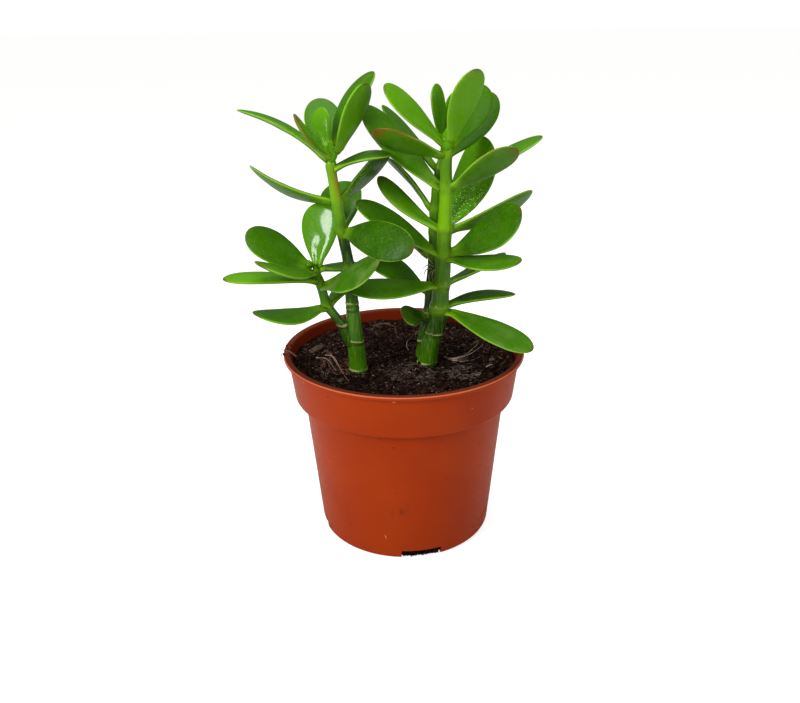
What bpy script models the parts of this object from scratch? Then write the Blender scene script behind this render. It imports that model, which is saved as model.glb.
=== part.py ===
"""A young jade plant in a small injection-moulded nursery pot.

The origin is the middle of the pot's underside, +Z is up and the side seen first faces -Y.
Every size below is in millimetres and every angle in degrees, and MM turns them into metres.
The pot and the soil are turned shapes. Each stem is one tapering tube, and each leaf is a
sphere drawn out into a thick spoon: a narrow stalk, a broad blade and a rounded tip.
"""

import math
from collections import namedtuple

import bmesh
import bpy
from mathutils import Vector

MM = 0.001
GAP = 0.3

# Pot: height and outer radii, from the rim down to the foot.
POT_HEIGHT = 96.0
RIM_RADIUS = 60.0
RIM_DEPTH = 1.9
COLLAR_TOP_RADIUS = 57.6
COLLAR_BOTTOM_RADIUS = 55.2
COLLAR_BOTTOM = 73.2
BODY_TOP_RADIUS = 50.7
FOOT_RADIUS = 44.0
FOOT_ROUNDING = 1.2
WALL = 1.1
FLOOR = 1.4
TURN_STEPS = 64

# Drain slots through the corner of floor and wall, so that the pot stands on broad feet.
SLOT_COUNT = 4
SLOT_FIRST_HEADING = 280.0
SLOT_WIDTH = 20.0
SLOT_INNER_RADIUS = 31.0
SLOT_HEIGHT = 4.7

# Soil: its level at the wall, and low heaps on it as (x, y, height, spread).
SOIL_LEVEL = 90.8
SOIL_RINGS = 7
HEAPS = [
    (4.0, -22.0, 1.6, 12.0),
    (-38.0, -8.0, 1.2, 9.0),
    (-8.0, 26.0, 1.4, 10.0),
    (34.0, 4.0, -1.6, 12.0),
    (20.0, 30.0, 1.0, 9.0),
]

# Stems: points from the lowest to the tip as (x, y, z, radius); a forked one leaves its parent.
Stem = namedtuple("Stem", "name parent points")
STEMS = [
    Stem("left_stem", None, [
        (-20.5, -14.0, 58.0, 1.6), (-21.5, -15.0, 74.0, 3.4), (-22.0, -15.2, 88.0, 4.4),
        (-22.3, -15.2, 92.0, 4.4), (-23.2, -15.2, 105.0, 4.0), (-24.1, -15.2, 123.0, 3.1),
        (-24.8, -15.2, 142.0, 2.6), (-27.6, -15.2, 159.0, 2.5), (-29.6, -15.2, 173.0, 2.4),
        (-31.4, -15.2, 188.0, 2.2), (-31.0, -15.0, 195.5, 2.0), (-31.0, -15.0, 198.0, 0.9),
    ]),
    Stem("left_branch", "left_stem", [
        (-23.4, -15.4, 101.0, 2.9), (-26.1, -15.8, 106.0, 2.9), (-29.0, -16.2, 114.0, 2.8),
        (-36.1, -17.0, 124.0, 2.4), (-38.4, -17.2, 134.5, 2.1), (-40.5, -17.2, 142.5, 2.0),
        (-41.2, -17.2, 146.0, 0.9),
    ]),
    Stem("right_stem", None, [
        (9.0, -7.0, 54.0, 1.8), (10.4, -8.6, 72.0, 3.8), (11.2, -8.9, 86.0, 4.7),
        (11.4, -8.9, 92.0, 4.9), (12.9, -8.9, 101.0, 4.7), (15.5, -8.9, 107.5, 4.4),
        (17.1, -8.9, 115.0, 4.6), (17.6, -8.9, 122.5, 4.2), (18.2, -8.9, 131.0, 3.9),
        (19.0, -8.9, 139.0, 3.6), (19.1, -8.9, 145.0, 3.4), (19.6, -8.9, 158.0, 3.3),
        (20.0, -8.9, 178.0, 2.8), (19.9, -8.9, 192.5, 2.5), (19.8, -8.9, 200.0, 2.2),
        (19.8, -8.9, 203.5, 0.9),
    ]),
    Stem("back_stem", None, [
        (7.5, 6.0, 58.0, 1.5), (8.6, 2.5, 76.0, 2.8), (9.2, 0.4, 88.0, 3.3),
        (9.4, 0.2, 93.0, 3.3), (10.3, 0.5, 102.0, 3.1), (12.2, 1.5, 110.0, 2.9),
        (13.2, 2.6, 117.0, 2.8), (13.5, 3.2, 124.0, 2.7), (14.7, 4.0, 135.5, 2.6),
        (15.0, 4.0, 144.5, 2.5), (15.4, 4.0, 165.0, 2.4), (16.9, 4.0, 178.0, 2.2),
        (18.2, 4.0, 188.0, 2.0), (18.8, 4.0, 192.5, 0.9),
    ]),
]
STEM_POINTS = {stem.name: stem.points for stem in STEMS}

# Leaves: where each joins its stem, where it points (0 is +X, 90 is +Y), how steeply it
# climbs, how far its tip is from the stem's centre line, its width, how far it arches as a
# share of its length, and how it is turned about its own length.
LEAF_THICKNESS = 3.4
STALK_WIDTH = 4.0
LEAF_SEGMENTS = 8
LEAF_RINGS = 9
Leaf = namedtuple("Leaf", "name stem height heading rise reach width arch turn")
LEAVES = [
    Leaf("left_leaf_01", "left_stem", 159, 315, -1, 45, 17, 0.09, 58),
    Leaf("left_leaf_02", "left_stem", 159, 94, 21, 43, 21, 0.00, -10),
    Leaf("left_leaf_03", "left_stem", 173, 156, 16, 46, 19, -0.08, 32),
    Leaf("left_leaf_04", "left_stem", 173, 52, 22, 43, 19, 0.02, -57),
    Leaf("left_leaf_05", "left_stem", 192, 170, 26, 46, 19, 0.08, 8),
    Leaf("left_leaf_06", "left_stem", 188, 1, 11, 27, 18, 0.08, 2),
    Leaf("left_leaf_07", "left_stem", 194, 243, 34, 32, 13, -0.03, -50),
    Leaf("left_leaf_08", "left_stem", 196, 56, 45, 43, 20, 0.05, -20),
    Leaf("left_leaf_09", "left_stem", 195, 335, 58, 34, 17, -0.01, -8),
    Leaf("left_leaf_10", "left_stem", 195, 101, 29, 40, 18, -0.07, 2),
    Leaf("left_leaf_11", "left_stem", 197, 121, 54, 19, 10, 0.06, -60),
    Leaf("branch_leaf_01", "left_branch", 124, 228, 9, 42, 19, -0.06, -7),
    Leaf("branch_leaf_02", "left_branch", 124, 66, 8, 36, 16, 0.03, -20),
    Leaf("branch_leaf_03", "left_branch", 134.5, 315, 24, 43, 19, -0.02, 40),
    Leaf("branch_leaf_04", "left_branch", 137, 206, 8, 45, 19, 0.03, 0),
    Leaf("branch_leaf_05", "left_branch", 141, 237, 18, 39, 19, -0.03, -12),
    Leaf("branch_leaf_06", "left_branch", 142, 52, -8, 32, 16, -0.03, 0),
    Leaf("branch_leaf_07", "left_branch", 143, 172, 28, 35, 20, -0.03, -25),
    Leaf("branch_leaf_08", "left_branch", 143, 75, 66, 30, 19, 0.00, -8),
    Leaf("right_leaf_01", "right_stem", 118.5, 335, -16, 49, 20, 0.01, 8),
    Leaf("right_leaf_02", "right_stem", 120.5, 26, 0, 42, 19, 0.04, -6),
    Leaf("right_leaf_03", "right_stem", 131.5, 204, 4, 47, 19, 0.00, -13),
    Leaf("right_leaf_04", "right_stem", 131.5, 44, 8, 45, 19, -0.02, -20),
    Leaf("right_leaf_05", "right_stem", 144.5, 325, 5, 40, 19, -0.02, 8),
    Leaf("right_leaf_06", "right_stem", 147, 182, 31, 47, 19, 0.03, -20),
    Leaf("right_leaf_07", "right_stem", 147, 336, 32, 43, 20, -0.05, 50),
    Leaf("right_leaf_08", "right_stem", 157.5, 27, 14, 50, 19, -0.04, -46),
    Leaf("right_leaf_09", "right_stem", 158, 143, 29, 43, 17, -0.06, 5),
    Leaf("right_leaf_10", "right_stem", 177.5, 351, 28, 36, 19, 0.02, -38),
    Leaf("right_leaf_11", "right_stem", 177.5, 163, 42, 52, 19, -0.02, -22),
    Leaf("right_leaf_12", "right_stem", 192, 200, 20, 36, 19, -0.03, 25),
    Leaf("right_leaf_13", "right_stem", 198, 215, 36, 41, 18, 0.03, -46),
    Leaf("right_leaf_14", "right_stem", 196, 45, 39, 36.5, 16.5, -0.04, 62),
    Leaf("right_leaf_15", "right_stem", 198, 308, 59, 36, 17, 0.02, 0),
    Leaf("right_leaf_16", "right_stem", 199, 124, 72, 24, 9, 0.00, 12),
    Leaf("right_leaf_17", "right_stem", 200.5, 74, 50, 22, 9, 0.00, -36),
    Leaf("back_leaf_01", "back_stem", 112.5, 218, 10, 17, 12, 0.00, -40),
    Leaf("back_leaf_02", "back_stem", 125, 179, 28, 34, 19, 0.07, -20),
    Leaf("back_leaf_03", "back_stem", 165, 134, 31, 38, 19, 0.05, 40),
    Leaf("back_leaf_04", "back_stem", 174, 1, 26, 54, 18, 0.01, 6),
    Leaf("back_leaf_05", "back_stem", 184, 136, 36, 44, 19, 0.00, 22),
    Leaf("back_leaf_06", "back_stem", 189, 36, 37, 42, 17, 0.00, 72),
    Leaf("back_leaf_07", "back_stem", 142, 168, 40, 30, 15, 0.00, 35),
    Leaf("back_leaf_08", "back_stem", 154, 38, 53, 52, 23, -0.15, 12),
]


def group(name):
    collection = bpy.data.collections.new(name)
    bpy.context.scene.collection.children.link(collection)
    return collection


def clear_scene():
    for item in list(bpy.data.objects):
        bpy.data.objects.remove(item, do_unlink=True)


def plain_material(name, colour, roughness):
    material = bpy.data.materials.new(name)
    material.use_nodes = True
    shader = material.node_tree.nodes["Principled BSDF"]
    shader.inputs["Base Color"].default_value = (*colour, 1.0)
    shader.inputs["Roughness"].default_value = roughness
    shader.inputs["Metallic"].default_value = 0.0
    return material


def add_object(name, data, collection):
    item = bpy.data.objects.new(name, data)
    collection.objects.link(item)
    return item


def shade_smooth(mesh, angle=40.0):
    mesh.shade_smooth()
    mesh.set_sharp_from_angle(angle=math.radians(angle))


def turned(name, profile, collection):
    """A profile of (radius, height) points, turned about the Z axis by a Screw modifier."""
    mesh = bpy.data.meshes.new(name)
    points = [(radius * MM, 0.0, height * MM) for radius, height in profile]
    edges = [(i, i + 1) for i in range(len(points) - 1)]
    mesh.from_pydata(points, edges, [])
    item = add_object(name, mesh, collection)
    screw = item.modifiers.new("turn", "SCREW")
    screw.steps = TURN_STEPS
    screw.render_steps = TURN_STEPS
    screw.use_merge_vertices = True
    screw.merge_threshold = 0.00005
    return item


def made_solid(item):
    """The object's evaluated shape as a plain mesh object of the same name, seams welded."""
    evaluated = item.evaluated_get(bpy.context.evaluated_depsgraph_get())
    mesh = bpy.data.meshes.new_from_object(evaluated)
    name = item.name
    home = item.users_collection[0]
    place = item.matrix_world.copy()
    bpy.data.objects.remove(item, do_unlink=True)
    shape = bmesh.new()
    shape.from_mesh(mesh)
    bmesh.ops.remove_doubles(shape, verts=shape.verts, dist=0.00001)
    shape.to_mesh(mesh)
    shape.free()
    solid = add_object(name, mesh, home)
    solid.matrix_world = place
    return solid


def cut(item, cutter, label):
    boolean = item.modifiers.new(label, "BOOLEAN")
    boolean.operation = "DIFFERENCE"
    boolean.solver = "EXACT"
    boolean.object = cutter


def as_cutter(item):
    item.hide_render = True
    item.display_type = "WIRE"
    return item


def pot_outside():
    """The pot's outer outline, from the rim down to the middle of the underside."""
    return [
        (RIM_RADIUS - 0.5, POT_HEIGHT),
        (RIM_RADIUS, POT_HEIGHT - 0.5),
        (RIM_RADIUS, POT_HEIGHT - RIM_DEPTH),
        (COLLAR_TOP_RADIUS, POT_HEIGHT - RIM_DEPTH - 0.4),
        (COLLAR_BOTTOM_RADIUS, COLLAR_BOTTOM),
        (BODY_TOP_RADIUS, COLLAR_BOTTOM - 0.2),
        (FOOT_RADIUS + FOOT_ROUNDING * 0.1, FOOT_ROUNDING),
        (FOOT_RADIUS - FOOT_ROUNDING * 0.3, FOOT_ROUNDING * 0.3),
        (FOOT_RADIUS - FOOT_ROUNDING, 0.0),
        (0.0, 0.0),
    ]


def pot_inside(clear=0.0):
    """The inner outline from the middle of the floor up, moved in by a clearance."""
    return [
        (0.0, FLOOR + clear),
        (FOOT_RADIUS - WALL - 0.4 - clear, FLOOR + clear),
        (BODY_TOP_RADIUS - WALL - clear, COLLAR_BOTTOM + WALL - 0.2 + clear),
        (COLLAR_BOTTOM_RADIUS - WALL - clear, COLLAR_BOTTOM + WALL + clear),
    ]


def build_pot(parts, cutters):
    profile = pot_inside()
    profile.append((COLLAR_TOP_RADIUS - WALL, POT_HEIGHT - 0.4))
    profile.append((COLLAR_TOP_RADIUS - WALL + 0.4, POT_HEIGHT))
    profile += pot_outside()
    pot = turned("pot", profile, parts)
    pot.data.materials.append(plain_material("terracotta_plastic", (0.42, 0.075, 0.018), 0.42))
    for i in range(SLOT_COUNT):
        heading = math.radians(SLOT_FIRST_HEADING + i * 360.0 / SLOT_COUNT)
        reach = FOOT_RADIUS + 6.0 - SLOT_INNER_RADIUS
        middle = (SLOT_INNER_RADIUS + reach / 2) * MM
        mesh = bpy.data.meshes.new(f"slot_{i + 1}")
        block = bmesh.new()
        bmesh.ops.create_cube(block, size=1.0)
        bmesh.ops.scale(block, verts=block.verts,
                        vec=(reach * MM, SLOT_WIDTH * MM, 2 * SLOT_HEIGHT * MM))
        block.to_mesh(mesh)
        block.free()
        cutter = as_cutter(add_object(f"slot_{i + 1}", mesh, cutters))
        cutter.location = (middle * math.cos(heading), middle * math.sin(heading), 0.0)
        cutter.rotation_euler = (0.0, 0.0, heading)
        cut(pot, cutter, f"drain slot {i + 1}")
    return pot


def soil_height(x, y):
    """Height of the soil's surface at a place, both in millimetres."""
    height = SOIL_LEVEL
    for heap_x, heap_y, rise, spread in HEAPS:
        away = math.hypot(x - heap_x, y - heap_y) / spread
        height += rise * math.exp(-away * away)
    return height


def build_soil(parts):
    """Soil fills the pot to just under its rim; its top is turned flat and then heaped."""
    share = (SOIL_LEVEL - COLLAR_BOTTOM) / (POT_HEIGHT - COLLAR_BOTTOM)
    edge = COLLAR_BOTTOM_RADIUS + share * (COLLAR_TOP_RADIUS - COLLAR_BOTTOM_RADIUS)
    edge -= WALL + GAP
    rings = [(edge * i / SOIL_RINGS, SOIL_LEVEL) for i in range(SOIL_RINGS + 1)]
    outline = rings + list(reversed(pot_inside(GAP)))
    soil = made_solid(turned("soil", outline, parts))
    for vertex in soil.data.vertices:
        if vertex.co.z > (SOIL_LEVEL - 0.1) * MM:
            vertex.co.z = soil_height(vertex.co.x / MM, vertex.co.y / MM) * MM
    soil.data.materials.append(plain_material("potting_soil", (0.022, 0.012, 0.008), 0.95))
    return soil


def tube(name, points, collection, grow=0.0):
    """A tapering tube through points of (x, y, z, radius), as one closed mesh."""
    curve = bpy.data.curves.new(name, "CURVE")
    curve.dimensions = "3D"
    curve.bevel_depth = MM
    curve.bevel_resolution = 3
    curve.use_fill_caps = True
    spline = curve.splines.new("POLY")
    spline.points.add(len(points) - 1)
    for point, (x, y, z, radius) in zip(spline.points, points):
        point.co = (x * MM, y * MM, z * MM, 1.0)
        point.radius = radius + grow
    return made_solid(add_object(name, curve, collection))


def build_stems(parts, cutters, soil):
    """Rooted stems get a hole in the soil; a fork is cut back from its parent's skin."""
    green = {"left_stem": (0.10, 0.26, 0.010), "right_stem": (0.15, 0.33, 0.008)}
    for stem in STEMS:
        item = tube(stem.name, stem.points, parts)
        colour = green.get(stem.name, (0.11, 0.27, 0.012))
        item.data.materials.append(plain_material(f"{stem.name}_skin", colour, 0.45))
        if stem.parent is None:
            low = stem.points[:5]
            end_x, end_y, end_z, end_radius = low[0]
            low = [(end_x, end_y, end_z - GAP, end_radius)] + low[1:]
            hole = as_cutter(tube(f"{stem.name}_hole", low, cutters, GAP))
            cut(soil, hole, f"room for {stem.name}")
        else:
            bark = tube(f"{stem.parent}_bark", STEM_POINTS[stem.parent], cutters, GAP)
            cut(item, as_cutter(bark), "fork")


def stem_at(stem, height):
    """Centre and radius of a stem at a height, straight between its points."""
    points = STEM_POINTS[stem]
    for low, high in zip(points, points[1:]):
        if low[2] <= height <= high[2]:
            share = (height - low[2]) / (high[2] - low[2])
            x, y, _, radius = (a + share * (b - a) for a, b in zip(low, high))
            return Vector((x, y, height)), radius
    raise ValueError(f"{stem} doesn't reach {height}")


def blade_half_width(t, width):
    """Half width along the leaf: broadest at two thirds, with a stalk at the stem."""
    blade = t ** 0.9 * math.sqrt(1.0 - t) / 0.4015
    return math.hypot(width / 2 * blade, STALK_WIDTH / 2 * (1.0 - t) ** 3)


def blade_half_thickness(t):
    return LEAF_THICKNESS / 2 * min(1.0, 0.6 + 0.8 * t) * math.sqrt(max(0.0, 1.0 - t * t))


def build_leaf(leaf, parts):
    centre, stem_radius = stem_at(leaf.stem, leaf.height)
    heading = math.radians(leaf.heading)
    rise = math.radians(leaf.rise)
    outward = Vector((math.cos(heading), math.sin(heading), 0.0))
    upright = Vector((0.0, 0.0, 1.0))
    stand_off = stem_radius + GAP + LEAF_THICKNESS * 0.3 * abs(math.sin(rise))
    start = centre + outward * stand_off
    tip = centre + (outward * math.cos(rise) + upright * math.sin(rise)) * leaf.reach
    length = (tip - start).length
    along = (tip - start).normalized()
    above = (upright - along * upright.dot(along)).normalized()
    turn = math.radians(leaf.turn)
    face = above * math.cos(turn) + along.cross(above) * math.sin(turn)
    across = face.cross(along)
    shape = bmesh.new()
    bmesh.ops.create_uvsphere(shape, u_segments=LEAF_SEGMENTS, v_segments=LEAF_RINGS, radius=1.0)
    for vertex in shape.verts:
        t = (vertex.co.z + 1.0) / 2
        round_x, round_y = vertex.co.x, vertex.co.y
        size = math.hypot(round_x, round_y)
        middle = start + along * (t * length) + face * (leaf.arch * length * 4 * t * (1.0 - t))
        if size > 0.001:
            middle += across * (round_x / size * blade_half_width(t, leaf.width))
            middle += face * (round_y / size * blade_half_thickness(t))
        vertex.co = middle * MM
    mesh = bpy.data.meshes.new(leaf.name)
    shape.to_mesh(mesh)
    shape.free()
    shade_smooth(mesh, 70.0)
    mesh.materials.append(plain_material(leaf.name, (0.085, 0.26, 0.008), 0.3))
    return add_object(leaf.name, mesh, parts)


def main():
    clear_scene()
    parts = group("potted_jade_plant")
    cutters = group("cutters")
    build_pot(parts, cutters)
    soil = build_soil(parts)
    build_stems(parts, cutters, soil)
    for leaf in LEAVES:
        build_leaf(leaf, parts)


main()
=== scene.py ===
# %% [markdown]
# # A potted jade plant
#
# Jade is a succulent: thick oval leaves sit in pairs on fleshy green stems. This one is a
# young plant in a thin plastic nursery pot. The script dresses the imported model piece by
# piece: pot, soil, stems, leaves, then the crumbs and fibres that make potting soil look real.
#
# First it loads the imported model.

# %% Load the frame
import math
import random
import bmesh
import bpy
import numpy as np
from mathutils import Euler, Matrix, Vector, noise


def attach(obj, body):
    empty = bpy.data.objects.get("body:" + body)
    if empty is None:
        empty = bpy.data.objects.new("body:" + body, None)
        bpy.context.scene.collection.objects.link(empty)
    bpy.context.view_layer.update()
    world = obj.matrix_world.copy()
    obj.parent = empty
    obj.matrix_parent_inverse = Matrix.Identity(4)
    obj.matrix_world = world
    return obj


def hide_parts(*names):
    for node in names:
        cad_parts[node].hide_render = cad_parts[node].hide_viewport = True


MM = 0.001
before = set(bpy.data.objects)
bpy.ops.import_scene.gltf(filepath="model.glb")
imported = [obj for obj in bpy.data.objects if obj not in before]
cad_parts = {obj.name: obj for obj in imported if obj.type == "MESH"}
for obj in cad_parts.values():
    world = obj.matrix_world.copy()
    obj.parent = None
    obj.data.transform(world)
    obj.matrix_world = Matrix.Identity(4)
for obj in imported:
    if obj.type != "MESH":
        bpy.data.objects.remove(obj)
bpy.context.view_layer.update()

# %% [markdown]
# ## Camera
#
# The plant is seen from the front and a little above, as a person holds a pot out at chest
# height. The camera is turned a fraction of a degree, because nobody holds one quite level.

# %% Camera
eye = Vector((-0.0019, -0.3763, 0.2475))
camera_data = bpy.data.cameras.new("camera")
camera_data.sensor_width = 36.0
camera_data.lens = 36.3
camera_data.clip_start = 0.01
camera_data.clip_end = 60.0
camera = bpy.data.objects.new("camera", camera_data)
bpy.context.scene.collection.objects.link(camera)
tilt_down = math.radians(90.0 - 22.28)
lean = Matrix.Rotation(math.radians(-0.74), 4, "Z")
looking = Euler((tilt_down, 0.0, 0.0)).to_matrix().to_4x4()
camera.matrix_world = Matrix.Translation(eye) @ looking @ lean
bpy.context.scene.camera = camera
bpy.context.scene.view_settings.view_transform = "Standard"
bpy.context.scene.view_settings.look = "None"
print("camera at", list(eye))

# %% [markdown]
# ## Studio
#
# The plant stands in a white room. Seen directly the room is white, but as a light it is
# dimmer, so that large soft lamps model the shapes, and in reflections it is nearly dark, as
# a lens with a polarising filter sees it. That keeps the greens deep and leaves the
# highlights to the lamps. One lamp stands to the front left, a weaker one to the right, and
# one hangs above. The floor has a little glow of its own, for the camera only, to stay pale
# as far as the horizon.

# %% World, floor and lamps
world = bpy.data.worlds.new("white_room")
bpy.context.scene.world = world
world.use_nodes = True
sky = world.node_tree
sky.nodes.clear()
ray = sky.nodes.new("ShaderNodeLightPath")


def room(strength):
    """A plain white surrounding of a given brightness."""
    node = sky.nodes.new("ShaderNodeBackground")
    node.inputs["Color"].default_value = (1.0, 0.99, 0.97, 1.0)
    node.inputs["Strength"].default_value = strength
    return node.outputs[0]


def swap_for(kind, usual, special):
    """The special surrounding for one kind of ray, the usual one for the rest."""
    node = sky.nodes.new("ShaderNodeMixShader")
    sky.links.new(ray.outputs[kind], node.inputs[0])
    sky.links.new(usual, node.inputs[1])
    sky.links.new(special, node.inputs[2])
    return node.outputs[0]


ROOM_LIGHT = 0.50
ROOM_IN_GLOSS = 0.10
surrounding = swap_for("Is Glossy Ray", room(ROOM_LIGHT), room(ROOM_IN_GLOSS))
surrounding = swap_for("Is Camera Ray", surrounding, room(1.05))
out = sky.nodes.new("ShaderNodeOutputWorld")
sky.links.new(surrounding, out.inputs["Surface"])


def soft_lamp(name, place, aim, width, tall, watts):
    """A flat lamp at a place, turned to look at a point."""
    data = bpy.data.lights.new(name, "AREA")
    data.shape = "RECTANGLE"
    data.size = width
    data.size_y = tall
    data.energy = watts
    lamp = bpy.data.objects.new(name, data)
    lamp.location = place
    lamp.rotation_euler = (Vector(aim) - Vector(place)).to_track_quat("-Z", "Y").to_euler()
    bpy.context.scene.collection.objects.link(lamp)
    return lamp


soft_lamp("key_lamp", (-0.75, -0.72, 0.64), (0.0, 0.0, 0.12), 0.24, 0.50, 9.5)
soft_lamp("fill_lamp", (0.85, -0.55, 0.40), (0.0, 0.0, 0.12), 0.50, 0.50, 2.0)
soft_lamp("top_lamp", (0.05, 0.15, 1.05), (0.0, 0.0, 0.15), 0.60, 0.60, 5.5)

bpy.ops.mesh.primitive_circle_add(vertices=96, radius=25.0, fill_type="NGON")
floor = bpy.context.object
floor.name = "floor"
pale = bpy.data.materials.new("pale_floor")
pale.use_nodes = True
pale_shader = pale.node_tree.nodes["Principled BSDF"]
pale_shader.inputs["Base Color"].default_value = (0.60, 0.60, 0.595, 1.0)
pale_shader.inputs["Roughness"].default_value = 0.9
pale_shader.inputs["Specular IOR Level"].default_value = 0.05
pale_shader.inputs["Emission Color"].default_value = (0.70, 0.70, 0.695, 1.0)
to_camera = pale.node_tree.nodes.new("ShaderNodeLightPath").outputs["Is Camera Ray"]
pale.node_tree.links.new(to_camera, pale_shader.inputs["Emission Strength"])
floor.data.materials.append(pale)

# %% [markdown]
# ## Wiring helpers
#
# Every finish here is a small network of shader nodes, wired from masks: values from 0 to 1
# that change over a surface. Small helpers keep the wiring readable. They add a node, do
# arithmetic on masks, paint one colour over another through a mask, and feed the result to
# the shader. A socket knows the network it belongs to, so only the first node of a chain has
# to be told.


# %% Helpers for shader nodes
def add_node(tree, kind, inputs=None, **settings):
    """A shader node; inputs gives numbers, colours or the sockets that feed it."""
    node = tree.nodes.new("ShaderNode" + kind)
    for key, value in settings.items():
        setattr(node, key, value)
    for key, value in (inputs or {}).items():
        if isinstance(value, bpy.types.NodeSocket):
            tree.links.new(value, node.inputs[key])
        else:
            node.inputs[key].default_value = value
    return node


def sums(how, *values):
    """One step of arithmetic, named as Blender's Math node names it."""
    tree = next(value for value in values if isinstance(value, bpy.types.NodeSocket)).id_data
    return add_node(tree, "Math", dict(enumerate(values)), operation=how).outputs[0]


def times(first, second):
    """The product of two masks, or of a mask and a number."""
    return sums("MULTIPLY", first, second)


def scaled(value, by, plus):
    """The value multiplied by one amount, plus another."""
    return sums("MULTIPLY_ADD", value, by, plus)


def vector_sums(how, *values):
    """The same for vectors; returns the node's outputs."""
    inputs = dict(enumerate(values))
    return add_node(values[0].id_data, "VectorMath", inputs, operation=how).outputs


def ramp_between(value, low, high, start=0.0, end=1.0):
    """A mask that climbs smoothly from start to end while the value goes from low to high."""
    inputs = {"Value": value, "From Min": low, "From Max": high, "To Min": start, "To Max": end}
    ramp = add_node(value.id_data, "MapRange", inputs, interpolation_type="SMOOTHSTEP")
    return ramp.outputs[0]


def blend_colours(mask, first, second):
    """First colour where the mask is 0, second where it is 1."""
    first, second = [(*c, 1.0) if isinstance(c, tuple) else c for c in (first, second)]
    inputs = {0: mask, 6: first, 7: second}
    return add_node(mask.id_data, "Mix", inputs, data_type="RGBA").outputs[2]


def paint(shade_under_scar, mask, strength, over):
    """Paints a colour over another through a mask, at a given strength."""
    return blend_colours(times(mask, strength), shade_under_scar, over)


def feed(shader, label, value):
    """Lets a socket of the shader vary over the surface."""
    value.id_data.links.new(value, shader.inputs[label])


def emboss(shader, height, strength, distance):
    """Raises the surface by a height that varies, through a Bump node."""
    inputs = {"Strength": strength, "Distance": distance, "Height": height}
    feed(shader, "Normal", add_node(height.id_data, "Bump", inputs).outputs[0])


def new_group(name, takes, gives):
    """An empty shader node group. takes and gives list (name, kind, value)."""
    group = bpy.data.node_groups.new(name, "ShaderNodeTree")
    for label, kind, value in takes:
        socket = group.interface.new_socket(label, in_out="INPUT", socket_type="NodeSocket" + kind)
        socket.default_value = value
    for label, kind in gives:
        group.interface.new_socket(label, in_out="OUTPUT", socket_type="NodeSocket" + kind)
    start = group.nodes.new("NodeGroupInput")
    end = group.nodes.new("NodeGroupOutput")
    return group, start.outputs, end.inputs


def use_group(tree, group, **values):
    """Places a node group in a material, and returns its outputs."""
    return add_node(tree, "Group", values, node_tree=group).outputs


def new_material(name, **plain):
    """A material with one Principled shader; plain sets the sockets that never vary.

    An underscore in a socket's name stands for a space.
    """
    material = bpy.data.materials.new(name)
    material.use_nodes = True
    shader = material.node_tree.nodes["Principled BSDF"]
    for key, value in plain.items():
        shader.inputs[key.replace("_", " ")].default_value = value
    return material, material.node_tree, shader


# %% [markdown]
# ## Effects that several finishes share
#
# * **mottle** is uneven colour: a soft cloudy noise, used in every finish here.
# * **specks** are small round dots at random places: the pale pores of a jade leaf, dirt on
#   the pot, and grit in the soil. They also give a height, for dimples.
# * **scratches** are short fine strokes, such as handling leaves on plastic.

# %% Mottle group
mottle_group, takes, gives = new_group(
    "mottle",
    [("Scale", "Float", 120.0), ("Detail", "Float", 3.0), ("Low", "Float", 0.35),
     ("High", "Float", 0.65)],
    [("Mask", "Float"), ("Raw", "Float")],
)
place = add_node(mottle_group, "TexCoord").outputs["Object"]
inputs = {"Vector": place, "Scale": takes["Scale"], "Detail": takes["Detail"]}
cloud = add_node(mottle_group, "TexNoise", inputs).outputs["Fac"]
mottle_group.links.new(ramp_between(cloud, takes["Low"], takes["High"]), gives["Mask"])
mottle_group.links.new(cloud, gives["Raw"])
print("group:", mottle_group.name)


# %% Specks group
def cells_around(place, scale):
    """Distance to the nearest of many scattered points, and a random colour for each point."""
    cells = add_node(place.id_data, "TexVoronoi", {"Vector": place, "Scale": scale}).outputs
    lot = add_node(place.id_data, "SeparateColor", {"Color": cells["Color"]}).outputs
    return cells["Distance"], lot


specks_group, takes, gives = new_group(
    "specks",
    [("Scale", "Float", 700.0), ("Size", "Float", 0.18), ("Share", "Float", 0.4)],
    [("Mask", "Float"), ("Dome", "Float")],
)
place = add_node(specks_group, "TexCoord").outputs["Object"]
distance, lot = cells_around(place, takes["Scale"])
is_chosen = sums("LESS_THAN", lot["Red"], takes["Share"])
dot = ramp_between(distance, takes["Size"], times(takes["Size"], 0.6))
specks_group.links.new(times(dot, is_chosen), gives["Mask"])
specks_group.links.new(sums("SUBTRACT", 1.0, distance), gives["Dome"])
print("group:", specks_group.name)

# %% Scratches group
SCRATCHED_SHARE = 0.42
scratch_group, takes, gives = new_group(
    "scratches",
    [("Scale", "Float", 130.0), ("Stretch", "Vector", (1.0, 1.0, 0.10)), ("Turn", "Float", 0.3),
     ("Width", "Float", 0.05)],
    [("Mask", "Float")],
)
place = add_node(scratch_group, "TexCoord").outputs["Object"]
inputs = {"Vector": place, "Angle": takes["Turn"]}
turned_place = add_node(scratch_group, "VectorRotate", inputs, rotation_type="Y_AXIS").outputs[0]
long_place = vector_sums("MULTIPLY", turned_place, takes["Stretch"])[0]
distance, lot = cells_around(long_place, takes["Scale"])
stroke = ramp_between(distance, takes["Width"], 0.0)
few = sums("LESS_THAN", lot["Green"], SCRATCHED_SHARE)
scratch_group.links.new(times(stroke, few), gives["Mask"])
print("group:", scratch_group.name)

# %% [markdown]
# ## Mesh helpers
#
# Most pieces are skins stretched over a grid of points: rings along a length, each ring a
# closed loop. One helper joins such rings into a mesh, another writes a value for every
# point that a material can read, such as how far along a leaf the point lies.


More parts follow.
